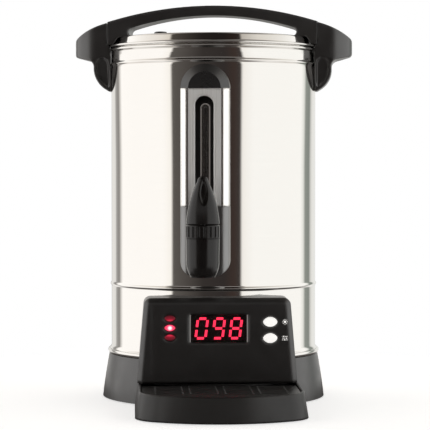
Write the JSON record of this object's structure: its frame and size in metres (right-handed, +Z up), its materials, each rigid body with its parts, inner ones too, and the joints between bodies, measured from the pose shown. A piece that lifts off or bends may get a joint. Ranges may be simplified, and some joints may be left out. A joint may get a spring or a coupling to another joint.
{
  "type": "electric hot water urn",
  "caption": "Free-standing stainless steel hot water urn with a sight gauge, lever tap, arched lid handle, digital control panel and drip tray.",
  "frame": {"origin": "on the counter, under the middle of the whole urn's outline", "axes": "+Z up, -Y towards the control panel and the drip tray, +X to the right seen from the front"},
  "size_m": [0.2972, 0.3634, 0.42],
  "materials": {
    "polished_steel": "mirror-polished stainless steel",
    "brushed_steel": "vertically brushed stainless steel",
    "plain_steel": "satin",
    "screw_steel": "plated",
    "cast_aluminium": "as cast",
    "black_plastic": "satin moulded, warm black",
    "column_plastic": "satin moulded black",
    "tap_plastic": "semi-gloss moulded black",
    "base_plate_plastic": "matt",
    "silicone": "matt translucent white",
    "foot_rubber": "matt",
    "sight_glass": "clear",
    "smoked_window": "smoked, glossy",
    "red_display": "lit red",
    "display_black": "matt black",
    "lamp_off": "translucent red, unlit",
    "lamp_on": "translucent red, lit",
    "white_key": "satin white",
    "circuit_board": "green solder mask",
    "component_black": "matt black",
    "transformer_iron": "laminated iron",
    "ceramic_white": "white ceramic look",
    "inlet_plastic": "moulded black",
    "brass_pins": "plated brass",
    "live_wire": "brown insulation",
    "neutral_wire": "blue insulation",
    "earth_wire": "green and yellow insulation",
    "heater_wire": "glass-braid sleeve",
    "panel_wire": "grey jacket"
  },
  "bodies": {
    "root": {"base_plate": "base_plate_plastic", "base_ring": "black_plastic", "base_screws": "screw_steel", "button_switches": "component_black", "control_board": "circuit_board", "control_board_screws": "screw_steel", "control_housing": "black_plastic", "display_digits": "red_display", "display_module": "display_black", "display_window": "smoked_window", "gauge_backplate": "column_plastic", "gauge_cover": "brushed_steel", "gauge_lower_housing": "column_plastic", "gauge_saddle": "column_plastic", "gauge_top_cap": "column_plastic", "gauge_tube": "sight_glass", "handle_backing_plates": "plain_steel", "heater_leads": "heater_wire", "heater_plate": "cast_aluminium", "heating_element": "plain_steel", "inlet_pins": "brass_pins", "inlet_screws": "screw_steel", "lead_earth": "earth_wire", "lead_live": "live_wire", "lead_neutral": "neutral_wire", "led_lens_bottom": "lamp_off", "led_lens_middle": "lamp_on", "led_lens_top": "lamp_off", "mains_inlet": "inlet_plastic", "panel_lead": "panel_wire", "power_board": "circuit_board", "power_relay": "component_black", "power_transformer": "transformer_iron", "rubber_feet": "foot_rubber", "side_handle_left": "black_plastic", "side_handle_right": "black_plastic", "side_handle_screws": "screw_steel", "tank_floor": "polished_steel", "tank_wall": "polished_steel", "tap_body": "tap_plastic", "tap_collar": "tap_plastic", "tap_nut": "plain_steel", "tap_seals": "silicone", "thermal_cutout": "ceramic_white", "thermostat": "ceramic_white", "trim_ring": "polished_steel"},
    "lid_seal": {"lid_gasket": "silicone"},
    "lid": {"lid_shell": "polished_steel", "lid_vent": "column_plastic", "lid_handle": "black_plastic", "lid_handle_screws": "screw_steel"},
    "lever": {"tap_lever": "tap_plastic"},
    "valve": {"tap_stem": "plain_steel", "tap_lever_pin": "plain_steel", "tap_seat_cup": "silicone"},
    "light_key": {"light_button": "white_key"},
    "set_key": {"set_button": "white_key"},
    "tray": {"drip_tray": "black_plastic"},
    "grille": {"drip_grille": "black_plastic"}
  },
  "joints": [
    {"name": "lid_lift", "type": "slide", "parent": "root", "child": "lid_seal", "axis": [0, 0, 1], "range_m": [0, 0.12]},
    {"name": "lid_turn", "type": "hinge", "parent": "lid_seal", "child": "lid", "pos_m": [0, 0.05925, 0.3746], "axis": [0, 0, 1], "range_deg": [-35, 35]},
    {"name": "lever_tilt", "type": "hinge", "parent": "root", "child": "lever", "pos_m": [-0.01911, -0.11108, 0.1898], "axis": [0.9938, -0.1115, 0], "range_deg": [0, 25], "stiffness_Nm_per_rad": 0.4, "springref_deg": -14.32},
    {"name": "valve_lift", "type": "slide", "parent": "root", "child": "valve", "axis": [0, 0, 1], "range_m": [0, 0.0082]},
    {"name": "light_press", "type": "slide", "parent": "root", "child": "light_key", "axis": [0, 1, 0], "range_m": [0, 0.0008], "stiffness_N_per_m": 1200, "springref_m": -0.0008},
    {"name": "set_press", "type": "slide", "parent": "root", "child": "set_key", "axis": [0, 1, 0], "range_m": [0, 0.0008], "stiffness_N_per_m": 1200, "springref_m": -0.0008},
    {"name": "tray_slide", "type": "slide", "parent": "root", "child": "tray", "axis": [0, -1, 0], "range_m": [0, 0.12]},
    {"name": "grille_lift", "type": "slide", "parent": "tray", "child": "grille", "axis": [0, 0, 1], "range_m": [0, 0.06]}
  ],
  "couplings": [
    {"joint": "valve_lift", "follows": "lever_tilt", "m_per_rad": 0.0183}
  ]
}
